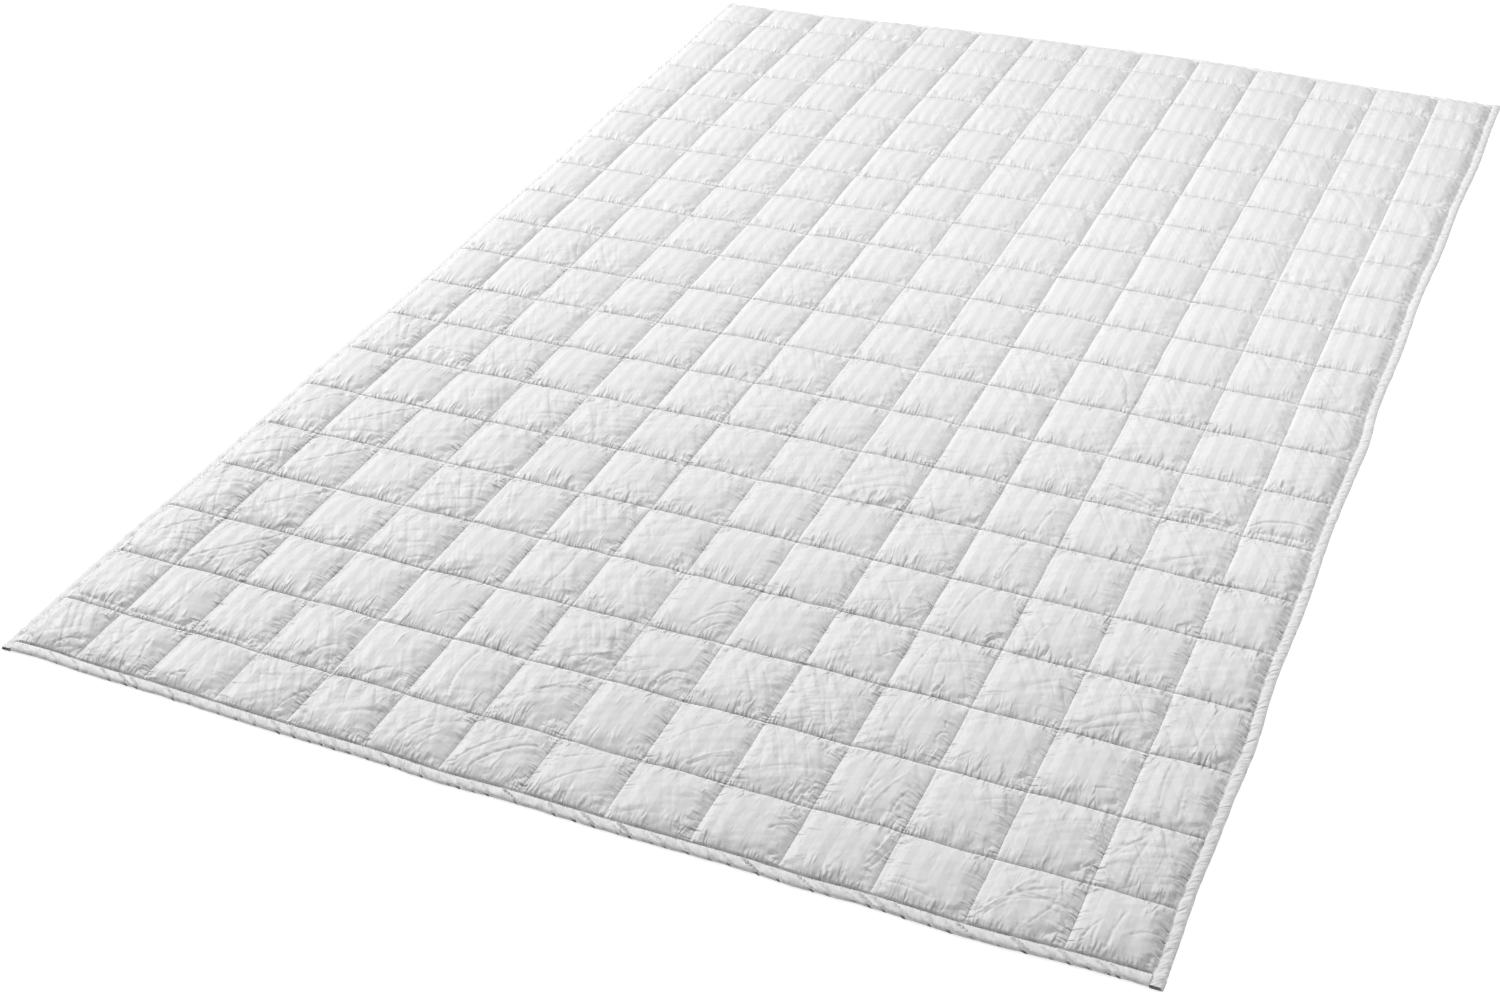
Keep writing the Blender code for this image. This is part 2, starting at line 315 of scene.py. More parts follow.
# Folds pressed into the filled cloth, each within the pocket of that column and row, counted
# from the front left: where it starts and ends there, in shares of the pocket, how far its
# middle bows sideways, how wide it is in mm, how deep in mm (a ridge where it is below 0)
FOLDS = (
    # column, row, start x, start y, end x, end y, bow, width, depth
    (1, 3, 0.30, 0.30, 1.00, 0.95, 0.06, 2.0, 1.3),
    (2, 3, 0.10, 0.15, 0.98, 0.98, -0.08, 2.1, 1.8),
    (2, 3, 0.30, 0.10, 1.00, 0.80, -0.08, 1.9, 1.2),
    (1, 5, 0.25, 0.35, 1.00, 0.98, 0.05, 1.9, 1.2),
    (2, 4, 0.20, 0.25, 0.98, 0.96, -0.06, 2.0, 1.4),
    (2, 5, 0.10, 0.20, 0.98, 0.98, -0.07, 2.1, 1.8),
    (1, 6, 0.30, 0.30, 1.00, 0.95, 0.05, 1.9, 1.2),
    (2, 6, 0.20, 0.25, 0.98, 0.97, -0.06, 2.0, 1.5),
    (2, 1, 0.42, 0.02, 0.50, 0.80, 0.05, 1.9, 1.2),
    (2, 2, 0.55, 0.05, 0.60, 0.90, -0.05, 1.9, 1.0),
    (6, 1, 0.35, 0.02, 0.60, 0.70, 0.10, 1.9, 1.4),
    (6, 1, 0.48, 0.02, 0.72, 0.60, 0.10, 1.7, 1.2),
    (6, 1, 0.62, 0.02, 0.80, 0.50, 0.08, 1.7, 1.0),
    (7, 1, 0.30, 0.05, 0.95, 0.75, 0.10, 2.1, 1.8),
    (7, 1, 0.10, 0.10, 0.70, 0.80, 0.08, 1.9, 1.3),
    (4, 2, 0.60, 0.10, 0.85, 0.40, 0.05, 1.7, 1.0),
    (6, 2, 0.55, 0.02, 0.50, 0.95, 0.10, 2.0, 1.4),
    (6, 4, 0.50, 0.02, 0.60, 0.95, -0.10, 2.0, 1.3),
    (6, 6, 0.45, 0.02, 0.55, 0.95, 0.10, 2.0, 1.2),
    (7, 2, 0.20, 0.20, 0.90, 0.85, 0.06, 1.9, 1.2),
    (5, 3, 0.60, 0.20, 0.90, 0.45, 0.04, 1.7, 0.9),
    (1, 4, 0.20, 0.55, 0.90, 0.60, 0.05, 1.9, 1.0),
    (8, 1, 0.20, 0.10, 0.80, 0.70, 0.05, 1.9, 1.2),
    (13, 1, 0.15, 0.30, 0.80, 0.75, 0.05, 1.9, 1.2),
    (13, 1, 0.30, 0.45, 0.95, 0.50, 0.04, 1.9, 1.0),
    (14, 1, 0.45, 0.05, 0.55, 0.70, 0.05, 1.9, 1.2),
    (14, 2, 0.40, 0.05, 0.50, 0.80, 0.05, 1.9, 1.0),
    (9, 2, 0.15, 0.30, 0.80, 0.85, 0.05, 1.9, 1.0),
    (11, 2, 0.50, 0.05, 0.45, 0.70, 0.05, 1.9, 1.0),
    (11, 3, 0.45, 0.05, 0.50, 0.80, 0.05, 1.9, 1.0),
    (11, 4, 0.50, 0.05, 0.45, 0.90, 0.05, 1.9, 1.1),
    (11, 5, 0.35, 0.05, 0.55, 1.00, 0.03, 2.0, 1.3),
    (11, 6, 0.55, 0.00, 0.68, 1.00, 0.03, 2.0, 1.3),
    (11, 7, 0.68, 0.00, 0.78, 0.70, 0.03, 2.0, 1.2),
    (8, 3, 0.58, 0.00, 1.00, 0.36, 0.30, 2.1, 2.2),
    (8, 4, 0.60, 0.30, 0.98, 0.70, 0.15, 1.9, 1.2),
    (10, 4, 0.50, 0.05, 0.50, 0.90, 0.06, 1.9, 1.0),
    (12, 8, 0.00, 0.34, 1.00, 0.13, 0.03, 2.4, 2.5),
    (12, 8, 0.35, 0.22, 0.98, 0.06, 0.02, 1.6, 1.3),
    (13, 8, 0.00, 0.20, 0.72, 0.17, 0.05, 2.6, 2.7),
    (13, 8, 0.45, 0.17, 1.00, 0.11, -0.03, 2.2, 2.2),
    (13, 8, 0.60, 0.08, 0.68, 0.26, 0.05, 1.5, 2.0),
    (13, 8, 0.80, 0.24, 0.98, 0.12, 0.05, 1.8, 2.4),
    (14, 8, 0.00, 0.15, 0.58, 0.31, 0.06, 2.3, 2.5),
    (14, 8, 0.45, 0.31, 0.99, 0.32, 0.05, 2.2, 2.7),
    (14, 8, 0.80, 0.46, 0.98, 0.36, 0.05, 1.7, 1.8),
    (12, 8, 0.30, 0.12, 1.00, 0.06, 0.00, 6.0, 1.4),
    (13, 8, 0.00, 0.08, 1.00, 0.07, 0.00, 6.0, 2.2),
    (14, 8, 0.00, 0.08, 1.00, 0.12, 0.00, 7.0, 2.4),
    (1, 9, 0.05, 0.42, 1.00, 0.44, 0.06, 2.1, 1.4),
    (2, 9, 0.00, 0.44, 0.95, 0.42, -0.06, 2.1, 1.4),
    (1, 8, 0.05, 0.30, 1.00, 0.31, 0.05, 2.1, 1.2),
    (2, 8, 0.00, 0.31, 0.90, 0.30, -0.05, 2.1, 1.2),
    (13, 1, 0.02, 0.05, 0.46, 0.80, -0.04, 1.5, -1.3),
    (13, 1, 0.06, 0.03, 0.50, 0.72, -0.04, 1.5, 1.0),
    (13, 1, 0.78, 0.55, 0.25, 0.56, 0.05, 1.6, 1.3),
    (13, 1, 0.78, 0.55, 0.34, 0.38, -0.05, 1.5, 1.1),
    (13, 1, 0.78, 0.55, 0.55, 0.08, 0.04, 1.6, 1.2),
    (13, 1, 0.80, 0.58, 0.72, 0.97, 0.03, 1.5, -1.2),
    (13, 1, 0.78, 0.52, 0.98, 0.15, 0.05, 1.5, 1.2),
    (14, 1, 0.12, 0.03, 0.34, 0.50, 0.05, 1.5, 1.3),
    (14, 1, 0.30, 0.03, 0.30, 0.42, 0.06, 1.5, 1.2),
    (14, 1, 0.60, 0.30, 0.96, 0.52, 0.06, 1.6, 1.1),
    (14, 2, 0.02, 0.36, 0.45, 0.78, -0.04, 1.5, 1.5),
    (14, 2, 0.02, 0.34, 0.40, 0.50, 0.04, 1.5, 1.3),
    (14, 2, 0.02, 0.32, 0.22, 0.10, 0.04, 1.5, 1.2),
    (13, 2, 0.99, 0.35, 0.70, 0.72, 0.04, 1.6, 1.3),
    (13, 2, 0.99, 0.33, 0.80, 0.08, 0.04, 1.6, 1.5),
    (13, 2, 0.99, 0.40, 0.85, 0.60, 0.04, 1.4, 1.0),
    (11, 4, 0.50, 0.02, 0.60, 0.30, -0.16, 1.9, 2.4),
    (11, 4, 0.22, 0.05, 0.34, 0.96, 0.04, 1.7, 1.2),
    (11, 3, 0.28, 0.03, 0.26, 0.92, 0.05, 1.7, -1.1),
    (11, 3, 0.86, 0.30, 0.97, 0.50, 0.30, 1.5, 1.7),
    (11, 3, 0.86, 0.66, 0.97, 0.52, -0.30, 1.5, 1.6),
    (11, 3, 0.50, 0.30, 0.58, 0.96, 0.04, 1.7, 1.0),
    (11, 5, 0.20, 0.05, 0.30, 0.95, -0.04, 1.7, -1.0),
    (11, 5, 0.75, 0.06, 0.95, 0.20, 0.20, 1.5, 1.6),
    (11, 5, 0.80, 0.02, 0.90, 0.12, 0.20, 1.4, 1.4),
    (8, 4, 0.52, 0.05, 0.98, 0.46, 0.16, 1.8, 1.5),
    (8, 4, 0.68, 0.04, 0.99, 0.30, 0.14, 1.6, 1.2),
    (8, 3, 0.64, 0.00, 1.00, 0.28, 0.28, 1.6, -1.2),
    (9, 2, 0.45, 0.05, 0.99, 0.46, 0.06, 1.6, -1.1),
    (9, 2, 0.50, 0.04, 0.98, 0.38, 0.06, 1.6, 0.9),
    (8, 1, 0.00, 0.36, 0.75, 0.98, 0.04, 1.8, 1.1),
    (8, 1, 0.00, 0.60, 0.50, 0.96, 0.04, 1.6, 0.9),
    (10, 2, 0.70, 0.02, 0.78, 0.24, 0.06, 1.4, 1.5),
    (10, 2, 0.80, 0.02, 0.90, 0.27, 0.06, 1.4, 1.5),
    (11, 2, 0.45, 0.02, 0.58, 0.62, 0.06, 1.7, 1.4),
    (11, 2, 0.56, 0.05, 0.78, 0.75, 0.06, 1.6, -1.1),
    (11, 2, 0.80, 0.10, 0.88, 0.55, 0.06, 1.6, 1.3),
    (10, 1, 0.72, 0.40, 0.98, 0.62, 0.12, 1.5, 1.4),
    (10, 1, 0.76, 0.60, 0.97, 0.84, -0.10, 1.5, 1.3),
    (11, 1, 0.52, 0.10, 0.60, 0.36, 0.06, 1.4, 1.3),
    (11, 1, 0.97, 0.97, 0.86, 0.22, 0.05, 1.9, 1.9),
    (11, 1, 0.91, 0.92, 0.80, 0.30, 0.05, 1.5, -1.1),
    (12, 1, 0.06, 0.17, 0.62, 0.13, 0.05, 1.7, 0.9),
    (12, 1, 0.10, 0.26, 0.55, 0.24, 0.05, 1.7, 0.8),
    (12, 2, 0.04, 0.18, 0.40, 0.30, 0.06, 1.6, 0.9),
    (12, 3, 0.10, 0.06, 0.32, 0.30, 0.06, 1.5, 1.0),
    (13, 4, 0.04, 0.92, 0.38, 0.86, 0.12, 1.7, 1.2),
    (13, 3, 0.60, 0.20, 0.92, 0.30, 0.06, 1.7, 1.1),
    (13, 3, 0.70, 0.42, 0.98, 0.52, 0.05, 1.6, 1.0),
    (14, 3, 0.42, 0.10, 0.36, 0.95, 0.04, 1.8, 1.2),
    (14, 3, 0.66, 0.10, 0.62, 0.60, 0.05, 1.6, 1.0),
    (14, 4, 0.55, 0.04, 0.60, 0.70, 0.05, 1.7, 1.1),
    (13, 5, 0.40, 0.03, 0.48, 0.55, 0.05, 1.7, 1.1),
    (13, 5, 0.56, 0.03, 0.62, 0.48, 0.05, 1.6, 1.0),
    (12, 5, 0.30, 0.03, 0.38, 0.55, 0.05, 1.7, 0.9),
    (13, 6, 0.72, 0.05, 0.98, 0.16, 0.10, 1.5, 1.3),
    (7, 3, 0.60, 0.05, 0.95, 0.40, 0.08, 1.6, 1.1),
    (10, 5, 0.80, 0.15, 0.98, 0.40, 0.06, 1.6, 1.0),
    (10, 4, 0.76, 0.30, 0.99, 0.60, 0.06, 1.6, 1.0),
    (1, 2, 0.04, 0.08, 1.00, 0.07, 0.00, 4.5, 1.5),
    (2, 2, 0.00, 0.07, 1.00, 0.06, 0.00, 4.5, 1.5),
    (3, 2, 0.00, 0.06, 0.90, 0.06, 0.00, 4.0, 1.1),
    (2, 1, 0.70, 0.04, 0.60, 0.40, 0.08, 1.7, 1.3),
    (2, 1, 0.90, 0.06, 0.72, 0.70, 0.06, 1.8, 1.3),
    (1, 1, 0.55, 0.05, 0.90, 0.30, 0.08, 1.7, 1.1),
    (4, 1, 0.80, 0.08, 0.95, 0.60, 0.05, 1.6, 1.1),
    (3, 1, 0.30, 0.10, 0.55, 0.25, 0.10, 1.8, 1.0),
    (2, 3, 0.80, 0.02, 0.95, 0.45, 0.05, 1.7, 1.3),
    (5, 2, 0.40, 0.03, 0.70, 0.26, 0.12, 1.6, 1.2),
)

# Rows of short pleats where a long fold runs beside a seam: which pocket, where they start and
# end across it, how many there are, how far they reach in from its near seam, how deep in mm
PLEATS = (
    # column, row, from x, to x, count, reach, depth
    (12, 8, 0.05, 0.50, 6, 0.15, 1.1),
    (13, 8, 0.08, 0.50, 8, 0.14, 1.9),
    (13, 8, 0.70, 0.92, 5, 0.10, 1.6),
    (14, 8, 0.08, 0.72, 9, 0.16, 1.9),
    (2, 2, 0.10, 0.90, 9, 0.12, 1.3),
    (3, 2, 0.10, 0.80, 7, 0.11, 1.2),
    (14, 9, 0.10, 0.90, 8, 0.12, 1.3),
    (13, 9, 0.10, 0.50, 4, 0.15, 1.2),
)


def pleated():
    """The folds of the rows of short pleats, unevenly spaced."""
    draw = np.random.default_rng(71)
    for column, row, start, end, count, reach, depth in PLEATS:
        for place in np.linspace(start, end, count):
            x = place + draw.uniform(-0.02, 0.02)
            top = reach * draw.uniform(0.5, 1.3)
            lean = draw.uniform(-0.01, 0.04)
            yield column, row, x, 0.005, x + lean, top, 0.05, 1.2, depth * draw.uniform(0.6, 1.1)


FOLDS = FOLDS + tuple(pleated())


def bowed_line(fold):
    """The points of a fold's middle line on the flat cloth."""
    column, row, x0, y0, x1, y1, bow = fold[:7]
    start, end = np.array([x0, y0]), np.array([x1, y1])
    way = end - start
    share = np.linspace(0, 1, 17)[:, None]
    line = start + share * way + bow * 4 * share * (1 - share) * np.array([-way[1], way[0]])
    corner = np.array([ACROSS[column - 1], ALONG[row - 1]])
    size = np.array([ACROSS[column], ALONG[row]]) - corner
    return corner + line * size


def beside_line(line, x, y):
    """How far points lie from a line of points, and how far along it, from 0 to 1."""
    nearest = np.full(x.shape, 9.0)
    along = np.zeros(x.shape)
    for number, (start, end) in enumerate(zip(line, line[1:])):
        way = end - start
        share = np.clip(((x - start[0]) * way[0] + (y - start[1]) * way[1]) / way.dot(way), 0, 1)
        away = np.hypot(x - start[0] - share * way[0], y - start[1] - share * way[1])
        closer = away < nearest
        nearest[closer] = away[closer]
        along[closer] = (number + share[closer]) / (len(line) - 1)
    return nearest, along


def near_box(line, x, y, reach):
    """Which points lie in the box round a line of points, widened by the reach."""
    low, high = line.min(0) - reach, line.max(0) + reach
    return np.nonzero((x > low[0]) & (x < high[0]) & (y > low[1]) & (y < high[1]))[0]


def pressed(x, y):
    """How deep the folds are at points of the flat cloth."""
    deep = np.zeros(x.shape)
    for fold in FOLDS:
        width, depth = fold[7] / 1000, fold[8] / 1000 * FOLD_DEPTH
        line = bowed_line(fold)
        near = near_box(line, x, y, 4 * width)
        away, along = beside_line(line, x[near], y[near])
        ends = np.clip(np.minimum(along, 1 - along) * 5, 0, 1)
        away = away / width
        # a sharp trough between two soft, low ridges
        deep[near] += depth * ends * (np.exp(-away * 1.2) - 0.35 * np.exp(-((away / 2.6) ** 2)))
    return deep


# ------------------------------------------------------------
# The quilt, in pieces of four rows
# ------------------------------------------------------------
def finer_lines(lines):
    """The lines of a panel's points across one direction, and the seam or share each has."""
    number = np.concatenate([*(n + SHARES[:-1] for n in range(len(lines) - 1)), [len(lines) - 1]])
    return np.interp(number, range(len(lines)), lines), number


def with_lip(place, number, length, first, last):
    """Adds the lines of the sewn-flat margin that the tape takes in."""
    lip = np.array([LIP_EDGE, (LIP_EDGE + MARGIN) / 2])
    if first:
        place = np.concatenate([lip, place])
        number = np.concatenate([(lip - MARGIN) / POCKET, number])
    if last:
        place = np.concatenate([place, length - lip[::-1]])
        number = np.concatenate([number, number[-1] + (MARGIN - lip[::-1]) / POCKET])
    return place, number


def kept_below(count, first, last):
    """Which of the lines above the underside has too."""
    lip = 2 if first else 0
    kept = [lip + pocket * MESH + line for pocket in range(count) for line in UNDER]
    kept.append(lip + count * MESH)
    return ([0] if first else []) + kept + ([kept[-1] + 2] if last else [])


def below(number):
    """1 at a seam and 0 on the flat underside of a pocket, for a place counted in pockets."""
    near = np.abs(number - np.round(number)) * POCKET
    return np.clip(1 - near / 0.005, 0, 1) ** 0.8


def quilt_panel(bank, usual, number):
    """Rows of pockets as one closed, filled piece: crowned above, flat below."""
    first_row, last_row = number * PANEL_ROWS, (number + 1) * PANEL_ROWS
    front, back = number == 0, last_row == ROWS
    x, column = with_lip(*finer_lines(ACROSS), WIDTH, True, True)
    y, row = finer_lines(ALONG[first_row : last_row + 1])
    y, row = with_lip(y, row + first_row, LENGTH, front, back)
    flat_x, flat_y = np.meshgrid(x, y)
    moves = np.zeros((*flat_x.shape, 3))
    for r in range(first_row, last_row):
        for c in range(COLUMNS):
            a = (r - first_row) * MESH + (2 if front else 0)
            b = c * MESH + 2
            size = np.array([ACROSS[c + 1] - ACROSS[c], ALONG[r + 1] - ALONG[r]]) / POCKET
            moves[a : a + MESH + 1, b : b + MESH + 1] = pocket_moves(bank, usual, c, r) * (*size, 1)
    top_x, top_y = spread(flat_x + moves[..., 0], flat_y + moves[..., 1])
    top = np.stack([top_x, top_y, SEAM_TOP + moves[..., 2]], -1)
    across, along = kept_below(COLUMNS, True, True), kept_below(PANEL_ROWS, front, back)
    under_x, under_y = spread(flat_x[np.ix_(along, across)], flat_y[np.ix_(along, across)])
    u, v = np.meshgrid(column[across], row[along])
    outside = (u < 0) | (u > COLUMNS) | (v < 0) | (v > ROWS)
    height = SEAM_LOW * np.where(outside, 1, np.maximum(below(u), below(v)))
    under = np.stack([under_x, under_y, height], -1)
    above = np.arange(top_x.size).reshape(top_x.shape)
    beneath = above.size + np.arange(under_x.size).reshape(under_x.shape)
    faces = grid_faces(above) + [face[::-1] for face in grid_faces(beneath)]
    sides = (
        (above[0], beneath[0], across, True),
        (above[-1], beneath[-1], across, False),
        (above[:, 0], beneath[:, 0], along, False),
        (above[:, -1], beneath[:, -1], along, True),
    )
    for upper, lower, kept, forward in sides:
        for n, (a, b) in enumerate(zip(kept, kept[1:])):
            wall = [*upper[a : b + 1][::-1].tolist(), int(lower[n]), int(lower[n + 1])]
            faces.append(wall if forward else wall[::-1])
    flat = np.concatenate(
        [
            np.stack([flat_x, flat_y], -1).reshape(-1, 2),
            np.stack([flat_x[np.ix_(along, across)], flat_y[np.ix_(along, across)]], -1).reshape(-1, 2),
        ]
    )
    pockets = np.concatenate(
        [np.stack(np.meshgrid(column, row), -1).reshape(-1, 2), np.stack([u, v], -1).reshape(-1, 2)]
    )
    points = np.concatenate([top.reshape(-1, 3), under.reshape(-1, 3)])
    name = f"quilt_rows_{first_row + 1}_{last_row}"
    piece = new_piece(name, points, faces, (("cloth", flat), ("pockets", pockets)))
    fold_in(piece, above.size)
    return piece


def fold_in(piece, above):
    """Makes the cloth finer where folds run, and presses them in."""
    mesh = piece.data
    bm = bmesh.new()
    bm.from_mesh(mesh)
    cloth = bm.loops.layers.uv["cloth"]
    flat = np.zeros((len(bm.verts), 2))
    for vert in bm.verts:
        flat[vert.index] = vert.link_loops[0][cloth].uv
    upper = np.zeros(len(flat), bool)
    upper[:above] = True
    fine = np.zeros(len(flat), bool)
    for fold in FOLDS:
        line = bowed_line(fold)
        near = near_box(line, flat[:, 0], flat[:, 1], FINE_REACH)
        away, _ = beside_line(line, *flat[near].T)
        fine[near[away < FINE_REACH]] = True
    fine &= upper
    bm.verts.ensure_lookup_table()
    faces = {face for index in np.nonzero(fine)[0] for face in bm.verts[index].link_faces}
    faces = [face for face in faces if len(face.verts) == 4]
    faces = [face for face in faces if all(vert.index < above for vert in face.verts)]
    edges = sorted({edge for face in faces for edge in face.edges}, key=lambda edge: edge.index)
    bmesh.ops.subdivide_edges(bm, edges=edges, cuts=2, use_grid_fill=True)
    bm.to_mesh(mesh)
    bm.free()
    count = len(mesh.vertices)
    points = np.zeros(count * 3)
    mesh.vertices.foreach_get("co", points)
    points = points.reshape(-1, 3)
    corner = np.zeros(len(mesh.loops), int)
    mesh.loops.foreach_get("vertex_index", corner)
    places = np.zeros(len(mesh.loops) * 2)
    mesh.uv_layers["cloth"].data.foreach_get("uv", places)
    flat = np.zeros((count, 2))
    flat[corner] = places.reshape(-1, 2)
    mesh.uv_layers["pockets"].data.foreach_get("uv", places)
    pocket = np.zeros((count, 2))
    pocket[corner] = places.reshape(-1, 2)
    room = np.clip((points[:, 2] - SEAM_TOP) / 0.004, 0, 1)
    points[:, 2] -= pressed(flat[:, 0], flat[:, 1]) * room
    mesh.vertices.foreach_set("co", points.ravel())
    ends = np.zeros(len(mesh.edges) * 2, int)
    mesh.edges.foreach_get("vertices", ends)
    ends = ends.reshape(-1, 2)
    off = np.abs(pocket - np.round(pocket))
    on_seam = off < 1e-3
    sharp = (on_seam[ends[:, 0]] & on_seam[ends[:, 1]]).any(1)
    marks = mesh.attributes.new("sharp_edge", "BOOLEAN", "EDGE")
    marks.data.foreach_set("value", sharp)
    mesh.update()


# ------------------------------------------------------------
# The tape
# ------------------------------------------------------------
def soft_noise(place, size, seed):
    """A smooth wavering between about -1 and 1 along a line, with bumps of about that size."""
    draw = np.random.default_rng(seed)
    waves = draw.uniform(0.7, 1.8, 7) / size, draw.uniform(0, 1, 7), draw.uniform(0.4, 1, 7)
    return sum(a * np.sin(math.tau * (place * f + s)) for f, s, a in zip(*waves)) / 2.2


def tape_outline():
    """The folded tape's outer outline in (distance in from its fold, height), from under its inner
    edge round the fold, up its slanting outer side, and over to the inner edge above."""
    under = [(TAPE_WIDTH, 0.0), (0.0080, 0.0), (0.0030, 0.0)]
    fold = [(0.0014, 0.0003), (0.0005, 0.0010), (0.0001, 0.0020), (0.0004, 0.0031), (0.0013, 0.0042)]
    top = [(0.0027, 0.0050), (0.0044, 0.0056), (0.0062, 0.0060), (0.0080, 0.0061), (0.0096, 0.0060)]
    edge = [(0.0110, 0.0057), (0.0120, 0.0053), (0.0127, 0.0051), (TAPE_WIDTH, 0.0049)]
    return np.array(under + fold + top + edge)


def bulge(place, width):
    """A smooth rise of height 1 and about that width where the place is 0."""
    return np.exp(-((place / width) ** 2))


def tape_strip(name, place, stations, seed, twist, corner=None):
    """One strip of tape, folded over the margin, with its twist folds and how strong they are.

    A side strip's corner says how its near end lies: with a ridge across it, or pressed flat."""
    outline = tape_outline()
    mouth_and_end = ((TAPE_WIDTH, GROOVE_TOP), (GROOVE_END, GROOVE_TOP))
    groove = np.array([*mouth_and_end, (GROOVE_END, GROOVE_LOW), (TAPE_WIDTH, GROOVE_LOW)])
    draw = np.random.default_rng(seed)
    s, inward = np.meshgrid(stations, outline[:, 0], indexing="ij")
    usual = np.broadcast_to(outline[:, 1], s.shape)
    free = np.clip(usual / 0.003 - 0.4, 0, 1) * np.clip((0.0129 - inward) / 0.002, 0, 1)
    height = usual + free * 0.0006 * soft_noise(s, 0.035, seed)
    height += free * 0.0004 * soft_noise(s + 0.9 * inward, 0.010, seed + 1)
    where = stations[0] + 0.02
    while where < stations[-1] - 0.02:
        away = s - where + draw.uniform(1.0, 2.4) * (inward - 0.006)
        depth, width = twist * draw.uniform(0.0007, 0.0021), draw.uniform(0.0016, 0.0030)
        height -= free * depth * (bulge(away, width) - 0.55 * bulge(away - 1.8 * width, width))
        where += draw.uniform(0.012, 0.034)
    outward = 0.0003 * soft_noise(s, 0.06, seed + 2) + 0.0001 * soft_noise(s + inward, 0.015, seed + 3)
    if corner == "ridged":
        height += free * (0.0012 * bulge(s - 0.0140, 0.0010) - 0.0010 * bulge(s - 0.0165, 0.0016))
        for start in (0.034, 0.039, 0.045):
            height -= free * 0.0013 * bulge(s - start + 1.4 * (inward - 0.006), 0.0013)
        outward = outward - 0.0009 * np.clip((0.0140 - s) / 0.002, 0, 1)
    if corner == "flattened":
        height = usual + (height - usual) * (1 + 1.5 * bulge(s - 0.022, 0.012))
        height = height * (1 - 0.35 * np.clip(1 - s / 0.016, 0, 1))
        height -= free * 0.0018 * (bulge(s - 0.016 + inward, 0.0016) + bulge(s - 0.027 - inward, 0.0018))
    inner = inward + outward * np.clip(1 - inward / 0.009, 0, 1) * (usual > 0)
    height = np.where(usual <= 0, 0, np.maximum(height, 0))
    over = (inner >= GROOVE_END - 0.0003) & (usual > GROOVE_TOP)
    height = np.where(over, np.maximum(height, GROOVE_TOP + 0.0004), height)
    ring = np.concatenate([np.stack([inner, height], -1), np.broadcast_to(groove, (len(stations), 4, 2))], 1)
    along = np.repeat(stations[:, None], ring.shape[1], 1)
    x, y = laid(*place(ring[..., 0], along))
    points = np.stack([x, y, ring[..., 1]], -1)
    index = np.arange(along.size).reshape(along.shape)
    looped = np.concatenate([index, index[:, :1]], 1)
    faces = grid_faces(looped) + [index[0].tolist(), index[-1][::-1].tolist()]
    outer = np.concatenate([outline, groove])
    run = np.concatenate([[0], np.cumsum(np.hypot(*np.diff(outer, axis=0).T))])
    maps = (("cloth", np.stack([along, np.broadcast_to(run, along.shape)], -1).reshape(-1, 2)),)
    piece = new_piece(name, points.reshape(-1, 3), faces, maps)
    bm = bmesh.new()
    bm.from_mesh(piece.data)
    bmesh.ops.recalc_face_normals(bm, faces=bm.faces)
    bm.to_mesh(piece.data)
    bm.free()
    piece.data.set_sharp_from_angle(angle=math.radians(50))
    return piece


def tape_strips():
    step = 0.0022
    butt = TAPE_WIDTH + GAP
    across = np.linspace(butt, WIDTH - butt, round(WIDTH / step))
    along = np.linspace(0.0, LENGTH, round(LENGTH / step))
    return {
        "binding_front": tape_strip("tape_front", lambda i, s: (s, i), across, 31, 2.2),
        "binding_back": tape_strip("tape_back", lambda i, s: (s, LENGTH - i), across, 41, 0.6),
        "binding_left": tape_strip("tape_left", lambda i, s: (i, s), along, 51, 0.6, "flattened"),
        "binding_right": tape_strip("tape_right", lambda i, s: (WIDTH - i, s), along, 61, 0.45, "ridged"),
    }


# ------------------------------------------------------------
# Stitches
# ------------------------------------------------------------
def one_stitch(thickness):
    """A single stitch along X, pointed at both ends: its points and faces."""
    half = PITCH * STITCH_SHARE / 2
    bpy.ops.object.select_all(action="DESELECT")
    bpy.ops.mesh.primitive_cone_add(
        vertices=4, radius1=thickness / 2, depth=half, end_fill_type="TRIFAN", rotation=(0, math.pi / 2, 0)
    )
    bpy.ops.object.transform_apply(location=False, rotation=True, scale=False)
    tip = min(bpy.context.object.data.vertices, key=lambda vert: vert.co.x + 9 * math.hypot(*vert.co.yz))
    tip.co.x -= half
    made = bpy.context.object
    points = np.array([vert.co[:] for vert in made.data.vertices])
    faces = [list(face.vertices) for face in made.data.polygons]
    bpy.data.objects.remove(made)
    return points, faces


def stitched(name, lines, thickness=THREAD):
    """A row of stitches along each line of points."""
    points, faces = one_stitch(thickness)
    places, ways = [], []
    for line in lines:
        way = np.diff(line, axis=0)
        run = np.concatenate([[0], np.cumsum(np.hypot(way[:, 0], way[:, 1]))])
        middle = np.arange(PITCH / 2, run[-1], PITCH)
        here = np.stack([np.interp(middle, run, line[:, axis]) for axis in range(3)], -1)
        there = np.stack([np.interp(middle + 1e-4, run, line[:, axis]) for axis in range(2)], -1)
        before = np.stack([np.interp(middle - 1e-4, run, line[:, axis]) for axis in range(2)], -1)
        way = there - before
        places.append(here)
        ways.append(way / np.hypot(*way.T)[:, None])
    places, ways = np.concatenate(places), np.concatenate(ways)
    x = places[:, None, 0] + points[:, 0] * ways[:, None, 0] - points[:, 1] * ways[:, None, 1]
    y = places[:, None, 1] + points[:, 0] * ways[:, None, 1] + points[:, 1] * ways[:, None, 0]
    z = places[:, None, 2] + points[:, 2] + 0 * x
    moved = np.stack([x, y, z], -1).reshape(-1, 3)
    copies = [[corner + n * len(points) for corner in face] for n in range(len(places)) for face in faces]
    return new_piece(name, moved, copies)


